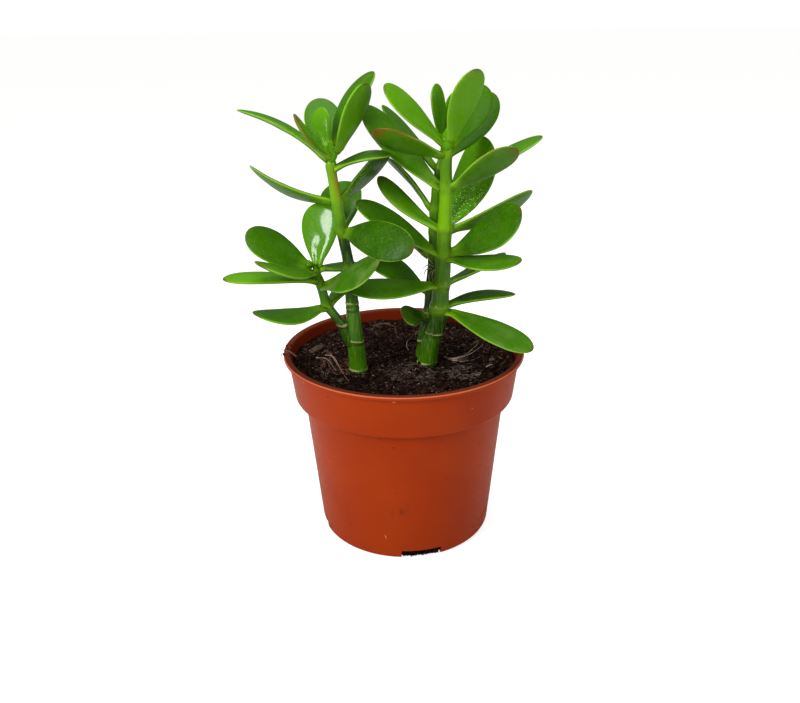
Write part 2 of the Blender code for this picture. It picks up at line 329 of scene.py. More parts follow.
# %% Helpers for meshes
def add_piece(name, points, faces, material, slot, *nodes):
    """A smooth mesh that rides on the plant, takes a material and stands for CAD nodes; slot is
    not used.
    """
    mesh = bpy.data.meshes.new(name)
    mesh.from_pydata([tuple(point) for point in points], [], faces)
    mesh.shade_smooth()
    mesh.materials.append(material)
    piece = bpy.data.objects.new(name, mesh)
    bpy.context.scene.collection.objects.link(piece)
    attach(piece, "root")
    if nodes:
        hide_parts(*nodes)
    return piece


def note_points(piece, label, vectors):
    """Stores one vector for each point, for the material to read by name."""
    layer = piece.data.attributes.new(label, "FLOAT_VECTOR", "POINT")
    layer.data.foreach_set("vector", np.array(vectors, np.float32).ravel())


def note_values(piece, label, numbers):
    """Stores one number for each point."""
    layer = piece.data.attributes.new(label, "FLOAT", "POINT")
    layer.data.foreach_set("value", numbers)


def skin_faces(rings, around, first=0):
    """Faces between rings of points, and one face to close each end."""
    faces = []
    for i in range(rings - 1):
        for j in range(around):
            a = first + i * around + j
            b = first + i * around + (j + 1) % around
            faces.append((a, b, b + around, a + around))
    faces.append(tuple(first + j for j in reversed(range(around))))
    faces.append(tuple(first + (rings - 1) * around + j for j in range(around)))
    return faces


def on_circle(radius, angle):
    """The x and y of a point on a circle."""
    return radius * math.cos(angle), radius * math.sin(angle)


def around_circle(count):
    """Evenly spaced angles, once around."""
    return [2 * math.pi * k / count for k in range(count)]


def smooth_step(value, low, high):
    """0 at low, 1 at high and smooth between."""
    share = min(1.0, max(0.0, (value - low) / (high - low)))
    return share * share * (3.0 - 2.0 * share)


def bump_at(value, middle, spread):
    """A bell curve, 1 at the middle."""
    return math.exp(-((value - middle) / spread) ** 2)


# %% [markdown]
# ## Pot plastic
#
# Nursery pots are pressed from thin recycled polypropylene in a terracotta colour. The
# surface is smooth and a little waxy, never quite even, with pale rub marks, fine scratches,
# specks of dirt and, low down, a film of dried soil. The inner wall is painted darker as the
# shade inside the pot, the flat top of the lip is darker, and a thin painted highlight runs
# along the lip's outer edge.

# %% Plastic material
SMUDGE_PLACE = (-0.0036, -0.0464, 0.0285)
plastic, tree, shader = new_material("pot_plastic", IOR=1.45, Specular_IOR_Level=0.10)
place = add_node(tree, "TexCoord").outputs["Object"]
height = add_node(tree, "SeparateXYZ", {"Vector": place}).outputs["Z"]
cloudy = use_group(tree, mottle_group, Scale=28.0, Detail=4.0, Low=0.3, High=0.7)
fine = use_group(tree, mottle_group, Scale=420.0, Detail=3.0, Low=0.3, High=0.7)
colour = blend_colours(cloudy["Mask"], (0.360, 0.0365, 0.0020), (0.320, 0.0295, 0.0015))
rub = use_group(tree, scratch_group, Scale=150.0, Stretch=(1.0, 1.0, 0.25), Turn=0.35, Width=0.070)
rub_two = use_group(
    tree, scratch_group, Scale=120.0, Stretch=(0.35, 1.0, 1.0), Turn=-0.2, Width=0.055)
marks = sums("ADD", rub["Mask"], rub_two["Mask"])
colour = paint(colour, marks, 0.8, (0.75, 0.28, 0.13))
dirt_dots = use_group(tree, specks_group, Scale=170.0, Size=0.095, Share=0.34)
colour = paint(colour, dirt_dots["Mask"], 0.9, (0.07, 0.010, 0.004))
low_down = ramp_between(height, 0.022, 0.0)
film = use_group(tree, mottle_group, Scale=260.0, Detail=6.0, Low=0.50, High=0.72)
dusty = times(low_down, film["Mask"])
colour = paint(colour, dusty, 0.35, (0.17, 0.035, 0.015))
print("plastic colours mixed")

# %% Plastic inside the pot with painted shade, along the lip with a painted highlight, and under a smudge
flat_place = vector_sums("MULTIPLY", place, (1.0, 1.0, 0.0))[0]
from_axis = vector_sums("LENGTH", flat_place)["Value"]
middle_of_wall = scaled(height, 0.111, 0.0463)
to_outside = sums("SUBTRACT", from_axis, middle_of_wall)
above_step = ramp_between(height, 0.074, 0.076)
# The inner wall above the step is painted darker, as the shade inside the pot.
inside_shade = times(ramp_between(to_outside, 0.0002, -0.0002), above_step)
colour = paint(colour, inside_shade, 0.72, (0.09, 0.008, 0.002))
near_top = ramp_between(height, 0.0954, 0.0958)
on_top = times(near_top, ramp_between(from_axis, 0.0598, 0.0594))
colour = paint(colour, on_top, 0.85, (0.10, 0.022, 0.010))
near_lip = ramp_between(height, 0.0953, 0.0957)
# A thin pale salmon painted highlight runs along the rounded outer edge of the lip.
lip_highlight = times(near_lip, ramp_between(from_axis, 0.0594, 0.0598))
colour = paint(colour, lip_highlight, 0.5, (0.75, 0.22, 0.11))
from_smudge = vector_sums("DISTANCE", place, SMUDGE_PLACE)["Value"]
smudge = times(ramp_between(from_smudge, 0.006, 0.001), film["Mask"])
colour = paint(colour, smudge, 0.9, (0.07, 0.020, 0.008))
feed(shader, "Base Color", colour)
rough = scaled(fine["Mask"], 0.08, 0.33)
feed(shader, "Roughness", scaled(dusty, 0.3, rough))
lumps = scaled(marks, -0.5, fine["Raw"])
emboss(shader, lumps, 0.25, 0.00012)
print("material:", plastic.name, len(tree.nodes), "nodes")

# %% [markdown]
# ## Pot
#
# A pot is a turned shape. The profile runs down the outside and up the inside with every
# corner rounded, because moulded plastic has no sharp corners and the light catches there.
# The drain slots are cut through the corner of floor and wall.

# %% Pot profile
LIP_TOP = 96.0
RIM_RADIUS = 60.0


def rounded(corners, radius_steps=5):
    """Each corner (radius, height, rounding) is replaced by a short arc."""
    result = []
    for i, (x, z, size) in enumerate(corners):
        here = Vector((x, z))
        if size == 0.0 or i in (0, len(corners) - 1):
            result.append((x, z))
            continue
        before = Vector(corners[i - 1][:2])
        after = Vector(corners[i + 1][:2])
        come = here + (before - here).normalized() * min(size, (before - here).length * 0.45)
        go = here + (after - here).normalized() * min(size, (after - here).length * 0.45)
        for k in range(radius_steps + 1):
            s = k / radius_steps
            spot = come * (1 - s) ** 2 + here * 2 * s * (1 - s) + go * s * s
            result.append((spot.x, spot.y))
    return result


pot_profile = rounded([
    (0.0, 1.4, 0.0), (42.4, 1.4, 1.2), (49.6, 73.9, 0.8), (54.1, 74.3, 0.8), (56.4, 95.0, 0.5),
    (56.9, LIP_TOP, 0.4), (RIM_RADIUS, LIP_TOP, 0.7), (RIM_RADIUS, 94.1, 0.7),
    (57.9, 93.9, 0.6), (57.6, 92.6, 0.5),
    (55.2, 73.2, 1.2), (50.7, 72.8, 0.7), (44.1, 1.2, 0.9), (42.8, 0.0, 0.5), (0.0, 0.0, 0.0),
])
print("pot profile:", len(pot_profile), "points")


# %% Turn the pot and cut its drain slots
def turned_mesh(profile, steps):
    """Points and faces of a profile of (radius, height) in millimetres turned about +Z."""
    shape = bmesh.new()
    line = [shape.verts.new((x * MM, 0.0, z * MM)) for x, z in profile]
    edges = [shape.edges.new((a, b)) for a, b in zip(line, line[1:])]
    bmesh.ops.spin(shape, geom=line + edges, axis=(0, 0, 1), cent=(0, 0, 0), steps=steps,
                   angle=2 * math.pi, use_duplicate=False)
    bmesh.ops.remove_doubles(shape, verts=shape.verts, dist=0.00001)
    bmesh.ops.recalc_face_normals(shape, faces=shape.faces)
    mesh = bpy.data.meshes.new("turned")
    shape.to_mesh(mesh)
    shape.free()
    return mesh


def cut_away(piece, cutter):
    """Cuts one object out of another and removes the cutter."""
    tool = piece.modifiers.new("cut", "BOOLEAN")
    tool.operation = "DIFFERENCE"
    tool.solver = "EXACT"
    tool.object = cutter
    shown = piece.evaluated_get(bpy.context.evaluated_depsgraph_get())
    finished = bpy.data.meshes.new_from_object(shown)
    piece.modifiers.clear()
    piece.data = finished
    bpy.data.objects.remove(cutter, do_unlink=True)


SLOT_HEADINGS = (280.0, 370.0, 460.0, 550.0)
SLOT_RADIUS = 40.5
SLOT_SIZE = (19.0 * MM, 20.0 * MM, 9.4 * MM)
pot = bpy.data.objects.new("pot_shell", turned_mesh(pot_profile, steps=160))
bpy.context.scene.collection.objects.link(pot)
for degrees in SLOT_HEADINGS:
    heading = math.radians(degrees)
    bpy.ops.mesh.primitive_cube_add(size=1.0)
    slot_cutter = bpy.context.object
    slot_cutter.scale = SLOT_SIZE
    slot_cutter.location = (*on_circle(SLOT_RADIUS * MM, heading), 0.0)
    slot_cutter.rotation_euler = (0.0, 0.0, heading)
    rounding = slot_cutter.modifiers.new("round", "BEVEL")
    rounding.width = 0.8 * MM
    rounding.segments = 3
    bpy.context.view_layer.update()
    cut_away(pot, slot_cutter)
pot.data.materials.clear()
pot.data.materials.append(plastic)
pot.data.shade_smooth()
pot.data.set_sharp_from_angle(angle=math.radians(45))
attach(pot, "root")
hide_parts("pot")
print("pot faces:", len(pot.data.polygons))

# %% [markdown]
# ## Stem shapes
#
# A jade stem is a stack of fleshy segments. Each pair of leaves marks a joint where the stem
# swells, and where leaves have dropped a thin tan ring is left. The tube below follows the
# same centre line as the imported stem, smoothed, and swells at its joints.

# %% Stem centre lines: x, y, z and radius in millimetres
STEM_POINTS = {
    "left_stem": [
        (-20.5, -14.0, 58.0, 1.6), (-21.5, -15.0, 74.0, 3.4), (-22.0, -15.2, 88.0, 4.4),
        (-22.3, -15.2, 92.0, 4.4), (-23.2, -15.2, 105.0, 4.0), (-24.1, -15.2, 123.0, 3.1),
        (-24.8, -15.2, 142.0, 2.6), (-27.6, -15.2, 159.0, 2.5), (-29.6, -15.2, 173.0, 2.4),
        (-31.4, -15.2, 188.0, 2.2), (-31.0, -15.0, 195.5, 2.0), (-31.0, -15.0, 198.0, 0.9),
    ],
    "left_branch": [
        (-23.4, -15.4, 101.0, 2.9), (-26.1, -15.8, 106.0, 2.9), (-29.0, -16.2, 114.0, 2.8),
        (-36.1, -17.0, 124.0, 2.4), (-38.4, -17.2, 134.5, 2.1), (-40.5, -17.2, 142.5, 2.0),
        (-41.2, -17.2, 146.0, 0.9),
    ],
    "right_stem": [
        (9.0, -7.0, 54.0, 1.8), (10.4, -8.6, 72.0, 3.8), (11.2, -8.9, 86.0, 4.7),
        (11.4, -8.9, 92.0, 4.9), (12.9, -8.9, 101.0, 4.7), (15.5, -8.9, 107.5, 4.4),
        (17.1, -8.9, 115.0, 4.6), (17.6, -8.9, 122.5, 4.2), (18.2, -8.9, 131.0, 3.9),
        (19.0, -8.9, 139.0, 3.6), (19.1, -8.9, 145.0, 3.4), (19.6, -8.9, 158.0, 3.3),
        (20.0, -8.9, 178.0, 2.8), (19.9, -8.9, 192.5, 2.5), (19.8, -8.9, 200.0, 2.2),
        (19.8, -8.9, 203.5, 0.9),
    ],
    "back_stem": [
        (7.5, 6.0, 58.0, 1.5), (8.6, 2.5, 76.0, 2.8), (9.2, 0.4, 88.0, 3.3),
        (9.4, 0.2, 93.0, 3.3), (10.3, 0.5, 102.0, 3.1), (12.2, 1.5, 110.0, 2.9),
        (13.2, 2.6, 117.0, 2.8), (13.5, 3.2, 124.0, 2.7), (14.7, 4.0, 135.5, 2.6),
        (15.0, 4.0, 144.5, 2.5), (15.4, 4.0, 165.0, 2.4), (16.9, 4.0, 178.0, 2.2),
        (18.2, 4.0, 188.0, 2.0), (18.8, 4.0, 192.5, 0.9),
    ],
}
# Heights of old leaf-scar rings, with how tan each is.
SCAR_RINGS = {
    "left_stem": [(91.3, 1.00), (106.0, 1.00), (122.6, 0.85), (124.8, 0.95), (141.5, 0.4)],
    "left_branch": [(114.5, 1.00), (124.5, 0.5)],
    "right_stem": [(91.9, 1.00), (107.0, 0.75), (121.0, 0.5), (131.5, 0.5), (145.5, 0.4),
                   (158.0, 0.4)],
    "back_stem": [(99.5, 1.0), (114.0, 0.7), (126.0, 0.5)],
}
# How bright a green the skin is at each height: partly its age, young or old, and partly painted
# shade where leaves and the other stems shade it.
GREEN_AND_SHADE = {
    "left_stem": [(90, 0.42), (104, 0.38), (107, 0.30), (120, 0.44), (128, 0.25), (136, 0.02),
                  (155, 0.04), (160, 0.55), (178, 0.90), (188, 0.70), (192, 0.95), (200, 1.00)],
    "left_branch": [(104, 0.16), (118, 0.22), (123, 0.55), (134, 0.45), (146, 0.65)],
    "right_stem": [(90, 0.30), (104, 0.28), (108, 0.12), (116, 0.16), (120, 0.55), (124, 0.40),
                   (131, 0.45), (134, 0.58), (144, 0.60), (150, 0.66), (157, 0.72), (160, 0.95),
                   (173, 0.95), (178, 0.66), (190, 0.62), (195, 0.95), (203, 1.00)],
    "back_stem": [(90, 0.24), (104, 0.14), (140, 0.12), (150, 0.40), (170, 0.55), (195, 0.60)],
}
# Heights of the joints where leaves still sit.
LEAF_JOINTS = {
    "left_stem": [142.0, 159.0, 173.0, 188.5, 195.0],
    "left_branch": [124.0, 135.0, 142.0],
    "right_stem": [119.5, 131.5, 146.0, 158.0, 177.5, 192.0, 198.5],
    "back_stem": [113.0, 125.5, 142.0, 154.0, 165.0, 174.0, 184.0, 189.0],
}

# The leaves of the top pair clasp the stem, so its tube ends between them.
STEM_TOPS = {"left_stem": 197.0, "left_branch": 145.0, "right_stem": 201.5, "back_stem": 191.0}


def stem_line(stem, step=0.5):
    """Evenly spaced (x, y, z, radius) along a stem, rounded off between its points."""
    points = np.array(STEM_POINTS[stem])
    heights = np.arange(points[0, 2], points[-1, 2], step)
    line = np.stack([np.interp(heights, points[:, 2], points[:, k]) for k in range(4)], 1)
    for _ in range(6):
        line[1:-1] = (line[:-2] + 2 * line[1:-1] + line[2:]) / 4
    return line


def stem_at(stem, height):
    """Centre and radius of a stem at a height."""
    points = np.array(STEM_POINTS[stem])
    x, y, radius = (np.interp(height, points[:, 2], points[:, k]) for k in (0, 1, 3))
    return Vector((x, y, height)), radius


print("stems:", {name: len(points) for name, points in STEM_POINTS.items()})

# %% [markdown]
# ## Stem skin
#
# A young jade stem is green and fleshy, and turns to wood from the soil upwards. Near the soil
# it is dark green with paler streaks along it; higher up it is yellow-green and almost
# translucent. Leaf scars are tan. The tube carries three values for each point: how bright
# its green is, partly from its age and partly as painted shade where leaves and other stems
# shade it; how strong a scar is there, below zero in the band just under each scar, where a
# dark band of painted shade lies; and how close it is to a living joint. A fourth says where
# the sun has blushed it.

# %% Stem material
stem_skin, tree, shader = new_material(
    "stem_skin", IOR=1.42, Specular_IOR_Level=0.18, Coat_Weight=0.28, Coat_Roughness=0.12,
    Coat_IOR=1.4, Subsurface_Weight=0.08, Subsurface_Scale=0.0012)
shader.inputs["Subsurface Radius"].default_value = (0.6, 1.0, 0.2)
place = add_node(tree, "Attribute", attribute_name="stem_place").outputs["Vector"]
parts = add_node(tree, "SeparateXYZ", {"Vector": place}).outputs
cloudy = use_group(tree, mottle_group, Scale=190.0, Detail=5.0, Low=0.35, High=0.65)
where = add_node(tree, "TexCoord").outputs["Object"]
long_grain = vector_sums("MULTIPLY", where, (1.0, 1.0, 0.09))[0]
inputs = {"Vector": long_grain, "Scale": 1500.0, "Detail": 4.0}
grain = add_node(tree, "TexNoise", inputs).outputs["Fac"]
# How bright the green is: partly the stem's age, partly painted shade.
bright = sums("ADD", parts["X"], scaled(cloudy["Raw"], 0.36, -0.18))
dark_green, mid_green = (0.0095, 0.036, 0.0008), (0.050, 0.165, 0.001)
colour = blend_colours(ramp_between(bright, 0.0, 0.5), dark_green, mid_green)
colour = blend_colours(ramp_between(bright, 0.45, 1.0), colour, (0.180, 0.430, 0.0015))
streaks = ramp_between(grain, 0.52, 0.66)
streaks_low = times(streaks, ramp_between(parts["X"], 0.9, 0.3, 0.08, 0.30))
colour = blend_colours(streaks_low, colour, (0.20, 0.36, 0.035))
colour = paint(colour, parts["Z"], 0.42, (0.20, 0.40, 0.006))
blush = add_node(tree, "Attribute", attribute_name="stem_blush").outputs["Fac"]
colour = paint(colour, blush, cloudy["Raw"], (0.42, 0.14, 0.01))
rough_edge = scaled(cloudy["Raw"], 0.4, -0.2)
scar = ramp_between(sums("ADD", parts["Y"], rough_edge), 0.35, 0.70)
colour = paint(colour, scar, 0.85, (0.42, 0.37, 0.15))
# A dark band of painted shade lies just under each scar.
shade_under_scar = ramp_between(parts["Y"], -0.10, -0.60)
colour = paint(colour, shade_under_scar, 0.8, (0.022, 0.030, 0.002))
pits = use_group(tree, specks_group, Scale=520.0, Size=0.16, Share=0.12)
colour = paint(colour, pits["Mask"], 0.6, (0.02, 0.03, 0.003))
feed(shader, "Base Color", colour)
feed(shader, "Roughness", scaled(scar, 0.3, 0.32))
relief = scaled(scar, 0.8, grain)
emboss(shader, relief, 0.40, 0.00025)
print("material:", stem_skin.name, len(tree.nodes), "nodes")


# %% Build the stems
STEM_AROUND = 40
CLOSING_RINGS = 14


def noise_around(angle, size, z):
    """Smooth noise that joins up around a tube."""
    return noise.noise(Vector((*on_circle(size, angle), z)))


def build_stem(name):
    """One tube with swollen joints and raised scars, a little out of round."""
    line = [spot for spot in stem_line(name) if spot[2] < STEM_TOPS[name]]
    points, values, blush = [], [], []
    for i, (x, y, z, radius) in enumerate(line):
        radius *= min(1.0, (len(line) - i) / CLOSING_RINGS) ** 0.6
        ring = sum(weight * bump_at(z, h, 0.62) for h, weight in SCAR_RINGS[name])
        # The band just below each scar is pinched in; its negative value carries the painted shade
        # under the scar.
        below = sum(weight * bump_at(z, h - 1.5, 0.7) for h, weight in SCAR_RINGS[name])
        joint = min(1.0, sum(bump_at(z, h, 2.4) for h in LEAF_JOINTS[name]))
        green = float(np.interp(z, *zip(*GREEN_AND_SHADE[name])))
        for angle in around_circle(STEM_AROUND):
            rough = 0.035 * noise_around(angle, 2, z * 0.16)
            wave = 0.025 * noise_around(angle, 1, 40 + z * 0.02)
            grown = radius * (1.0 + rough + wave + 0.15 * joint) + 0.25 * ring - 0.12 * below
            sway = 0.5 * math.sin(angle * 2 + z) * min(ring, 1.0) if z > LIP_TOP else 0.0
            out_x, out_y = on_circle(grown, angle)
            points.append(((x + out_x) * MM, (y + out_y) * MM, (z + sway) * MM))
            patchy = 0.85 + 0.6 * noise_around(angle, 1.3, z * 0.3)
            values.append((green, (ring - 0.8 * below) * patchy, joint))
            sunny = max(0.0, math.cos(angle + 0.4)) if name == "left_stem" else 0.0
            blush.append(sunny * bump_at(z, 181.0, 6.0))
    faces = skin_faces(len(line), STEM_AROUND)
    piece = add_piece(f"{name}_skin", points, faces, stem_skin, "stem_skin", name)
    note_points(piece, "stem_place", values)
    note_values(piece, "stem_blush", blush)
    return piece


for stem_name in STEM_POINTS:
    made = build_stem(stem_name)
    print(made.name, len(made.data.vertices), "points")

# %% [markdown]
# ## Leaves
#
# A jade leaf is a thick spoon. It leaves the stem on a short stalk, broadens to two thirds of
# its length and ends in a round tip. The upper face is almost flat with a shallow channel near
# the stalk, the underside is rounder, and the two meet in a thin rim that is lighter, partly in
# its own colour and partly as a painted highlight, or red where the sun has reached it.
#
# Leaves are listed stem by stem, from the lowest up, and numbered in that order. Each is
# placed as the imported one is: height on the stem, heading, climb, reach, width, arch and turn.
# The last four numbers describe its look: how bright a green, which is partly the leaf's own
# tone and partly painted shade and light for how the leaf sits towards the lamps; how red its
# rim; how much pale bloom and painted sheen lies on it; and how dimpled its skin is, which
# above one half also brings pale dots painted as glints on water drops.

# %% Leaf list
# A leaf's green tone is partly its own colour and partly painted shade and light: leaves in shade
# are given darker tones, some are lowered where the lamps light a leaf strongly, and some raised
# where the lamps leave it dark.
LEAVES = {
    "left": [
        (159, 315, -1, 45, 17, 0.09, 58, 0.12, 0.0, 0.12, 0.2),
        (159, 94, 21, 43, 21, 0.00, -10, 0.30, 0.0, 0.20, 0.0),
        (173, 156, 16, 46, 19, -0.08, 32, 0.35, 0.0, 0.50, 0.2),
        (173, 52, 22, 43, 19, 0.02, -57, 0.22, 0.0, 0.00, 0.7),
        (192, 170, 26, 46, 19, 0.08, 8, 0.60, 0.0, 0.45, 0.1),
        (188, 1, 11, 27, 18, 0.08, 2, 0.30, 0.2, 0.45, 0.3),
        (194, 243, 34, 32, 13, -0.03, -50, 0.55, 0.6, 0.20, 0.0),
        (196, 56, 45, 43, 20, 0.05, -20, 0.30, 0.1, 0.30, 0.1),
        (195, 335, 58, 34, 17, -0.01, -8, 0.75, 0.0, 0.35, 0.1),
        (195, 101, 29, 40, 18, -0.07, 2, 0.40, 0.2, 0.00, 0.1),
        (197, 121, 54, 19, 10, 0.06, -60, 0.68, 0.0, 0.15, 0.0),
    ],
    "branch": [
        (124, 228, 9, 42, 19, -0.06, -7, 0.60, 0.1, 0.20, 0.1),
        (124, 66, 8, 36, 16, 0.03, -20, 0.85, 0.0, 0.20, 0.0),
        (134.5, 315, 24, 43, 19, -0.02, 40, 0.28, 0.0, 0.65, 0.3),
        (137, 206, 8, 45, 19, 0.03, 0, 1.10, 0.3, 0.25, 0.0),
        (141, 237, 18, 39, 19, -0.03, -12, 0.60, 0.0, 0.20, 0.1),
        (142, 52, -8, 32, 16, -0.03, 0, 0.80, 0.0, 0.45, 0.1),
        (143, 172, 28, 35, 20, -0.03, -25, 0.36, 0.1, 0.12, 0.3),
        (143, 75, 66, 30, 19, 0.00, -8, 0.68, 0.0, 0.05, 0.0),
    ],
    "right": [
        (118.5, 335, -16, 49, 20, 0.01, 8, 0.48, 0.15, 0.35, 0.1),
        (120.5, 26, 0, 42, 19, 0.04, -6, 0.20, 0.1, 0.15, 0.1),
        (131.5, 204, 4, 47, 19, 0.00, -13, 0.55, 0.0, 0.30, 0.1),
        (131.5, 44, 8, 45, 19, -0.02, -20, 0.30, 0.0, 0.20, 0.1),
        (144.5, 325, 5, 40, 19, -0.02, 8, 0.50, 0.0, 0.25, 0.1),
        (147, 182, 31, 47, 19, 0.03, -20, 0.30, 0.15, 0.15, 0.2),
        (147, 336, 32, 43, 20, -0.05, 50, 0.24, 0.1, 0.15, 0.1),
        (157.5, 27, 14, 50, 19, -0.04, -46, 0.30, 0.0, 0.20, 0.2),
        (158, 143, 29, 43, 17, -0.06, 5, 0.92, 0.5, 0.30, 0.2),
        (177.5, 351, 28, 36, 19, 0.02, -38, 0.38, 0.5, 0.30, 0.2),
        (177.5, 163, 42, 52, 19, -0.02, -22, 0.50, 0.1, 0.35, 0.2),
        (192, 200, 20, 36, 19, -0.03, 25, 0.45, 0.9, 0.15, 0.1),
        (198, 215, 36, 41, 18, 0.03, -46, 0.78, 0.15, 0.15, 0.1),
        (196, 45, 39, 36.5, 16.5, -0.04, 62, 0.50, 0.1, 0.10, 0.1),
        (198, 308, 59, 36, 17, 0.02, 0, 1.15, 0.3, 0.25, 0.1),
        (199, 124, 72, 24, 9, 0.00, 12, 0.62, 0.1, 0.15, 0.0),
        (200.5, 74, 50, 22, 9, 0.00, -36, 0.70, 0.1, 0.15, 0.0),
    ],
    "back": [
        (112.5, 218, 10, 17, 12, 0.00, -40, 0.22, 0.3, 0.15, 0.2),
        (125, 179, 28, 34, 19, 0.07, -20, 0.30, 0.1, 0.15, 0.1),
        (165, 134, 31, 38, 19, 0.05, 40, 0.35, 0.1, 0.35, 0.1),
        (174, 1, 26, 54, 18, 0.01, 6, 0.50, 0.1, 0.20, 0.0),
        (184, 136, 36, 44, 19, 0.00, 22, 0.40, 0.1, 0.20, 0.1),
        (189, 36, 37, 42, 17, 0.00, 72, 0.50, 0.1, 0.15, 0.1),
        (142, 168, 40, 30, 15, 0.00, 35, 0.00, 0.8, 0.50, 0.8),
        (154, 38, 53, 52, 23, -0.15, 12, 0.70, 0.1, 0.10, 1.0),
    ],
}
LEAF_STEMS = {"left": "left_stem", "branch": "left_branch", "right": "right_stem",
              "back": "back_stem"}
# Leaves with a wetter shine than the rest, and a few duller ones.
GLOSSY_LEAVES = {
    "branch_leaf_08": 0.6, "branch_leaf_03": 0.4, "back_leaf_01": 0.6, "left_leaf_04": -0.15,
    "left_leaf_10": -0.15, "left_leaf_08": -0.10, "left_leaf_01": -0.14,
}
print("leaves:", {side: len(rows) for side, rows in LEAVES.items()})

# %% [markdown]
# ## Leaf flesh
#
# The green comes from flesh under a clear waxy skin, so the shader has a green base with a
# little light scattered inside it and a thin glossy coat on top. Masks made from each point's
# place on the leaf paint the pale stalk, the light rim, which is partly the paler margin and
# partly a painted highlight along the edge, the red tip and the pale pores; noise keeps all of
# them uneven. Pale dots stand for water drops with painted glints, and the pale bloom carries
# painted sheen.

# %% Leaf material
leaf_flesh, tree, shader = new_material(
    "leaf_flesh", IOR=1.42, Specular_IOR_Level=0.09, Coat_Roughness=0.10, Coat_IOR=1.45,
    Subsurface_Weight=0.08, Subsurface_Scale=0.0015)
shader.inputs["Subsurface Radius"].default_value = (0.5, 1.0, 0.15)
place = add_node(tree, "Attribute", attribute_name="leaf_place").outputs["Vector"]
where = add_node(tree, "SeparateXYZ", {"Vector": place}).outputs
look = add_node(tree, "Attribute", attribute_name="leaf_look").outputs["Vector"]
likes = add_node(tree, "SeparateXYZ", {"Vector": look}).outputs
dimpled = add_node(tree, "Attribute", attribute_name="leaf_dimples").outputs["Fac"]
glossy = add_node(tree, "Attribute", attribute_name="leaf_gloss").outputs["Fac"]
clouds = use_group(tree, mottle_group, Scale=70.0, Detail=3.0, Low=0.30, High=0.70)
flecks = use_group(tree, mottle_group, Scale=900.0, Detail=3.0, Low=0.40, High=0.62)
# Each leaf's tone is partly its own green and partly painted shade and light.
bright = scaled(clouds["Raw"], 0.34, -0.17)
bright = sums("ADD", likes["X"], bright)
dark_green, mid_green = (0.014, 0.062, 0.0004), (0.048, 0.178, 0.0006)
colour = blend_colours(ramp_between(bright, 0.0, 0.45), dark_green, mid_green)
colour = blend_colours(ramp_between(bright, 0.4, 0.95), colour, (0.118, 0.365, 0.001))
colour = paint(colour, flecks["Mask"], 0.14, (0.10, 0.30, 0.004))
print("leaf greens mixed")

# %% Leaf stalk, pale rim with a painted highlight, and tip
across = sums("ABSOLUTE", where["Y"])
uneven = scaled(clouds["Raw"], 0.08, -0.04)
across_rough = sums("ADD", across, uneven)
stalk = ramp_between(where["X"], 0.22, 0.0)
colour = paint(colour, stalk, 0.60, (0.19, 0.42, 0.004))
under_side = ramp_between(where["Z"], 0.15, -0.25)
colour = paint(colour, under_side, 0.18, (0.13, 0.30, 0.01))
# A pale rim: partly the leaf's paler margin, partly a painted highlight along the edge.
pale_rim_highlight = ramp_between(across_rough, 0.94, 1.0)
colour = paint(colour, pale_rim_highlight, 0.65, (0.30, 0.56, 0.04))
end_point = times(ramp_between(where["X"], 0.965, 0.995), 0.7)
colour = blend_colours(end_point, colour, (0.12, 0.055, 0.012))
tip = ramp_between(where["X"], 0.80, 1.02)
rim_wide = ramp_between(across_rough, 0.84, 0.99)
sunned = ramp_between(likes["Y"], 0.05, 0.95)
flush = times(sums("MAXIMUM", tip, times(rim_wide, 0.8)), sunned)
flush_far = times(flush, ramp_between(where["X"], 0.25, 0.8))
colour = blend_colours(flush_far, colour, (0.19, 0.060, 0.008))
print("leaf edges mixed")

# %% Leaf pores, painted glints of drops, bloom with painted sheen, and shine
pores = use_group(tree, specks_group, Scale=900.0, Size=0.24, Share=0.22)
colour = paint(colour, pores["Mask"], 0.40, (0.30, 0.50, 0.12))
# Pale dots near the stalk of dimpled leaves stand for water drops, painted with their glint.
drop_glint_cells = use_group(tree, specks_group, Scale=1050.0, Size=0.36, Share=0.80)
near_stalk = ramp_between(where["X"], 0.68, 0.45)
drop_glint_area = times(ramp_between(dimpled, 0.5, 1.0), near_stalk)
painted_drop_glints = times(drop_glint_cells["Mask"], drop_glint_area)
colour = paint(colour, painted_drop_glints, 0.95, (0.55, 0.80, 0.36))
# A pale bloom: partly the waxy bloom of jade, partly painted sheen.
bloom_and_sheen_cloud = use_group(tree, mottle_group, Scale=130.0, Detail=5.0, Low=0.40, High=0.75)
bloom_and_sheen = times(bloom_and_sheen_cloud["Mask"], likes["Z"])
colour = paint(colour, bloom_and_sheen, 0.5, (0.27, 0.38, 0.10))
feed(shader, "Base Color", colour)
rough = scaled(flecks["Raw"], 0.12, 0.30)
feed(shader, "Roughness", scaled(bloom_and_sheen, 0.25, rough))
coat = scaled(glossy, 0.75, 0.13)
feed(shader, "Coat Weight", scaled(bloom_and_sheen, -0.1, coat))
dimple_cells = use_group(tree, specks_group, Scale=420.0, Size=0.3, Share=1.0)
relief = times(dimple_cells["Dome"], dimpled)
relief = scaled(flecks["Raw"], 0.25, relief)
crinkle = use_group(tree, mottle_group, Scale=330.0, Detail=2.0, Low=0.3, High=0.7)
crinkled = scaled(glossy, 5.0, 0.9)
relief = scaled(crinkle["Raw"], crinkled, relief)
relief = scaled(clouds["Raw"], 1.6, relief)
emboss(shader, relief, 0.40, 0.0005)
print("material:", leaf_flesh.name, len(tree.nodes), "nodes")

# %% [markdown]
# ## Leaf shapes
#
# The skin of a leaf is a grid: rings along its length, points around each ring. The rings
# crowd together at the tip, where the outline turns fastest. No two leaves are alike, so each
# one gets its own slight sideways bend, wavy rim and uneven halves from smooth noise.

# %% Build the leaves
LEAF_THICKNESS = 3.4
STALK_WIDTH = 5.4
LEAF_RINGS = 34
LEAF_AROUND = 32


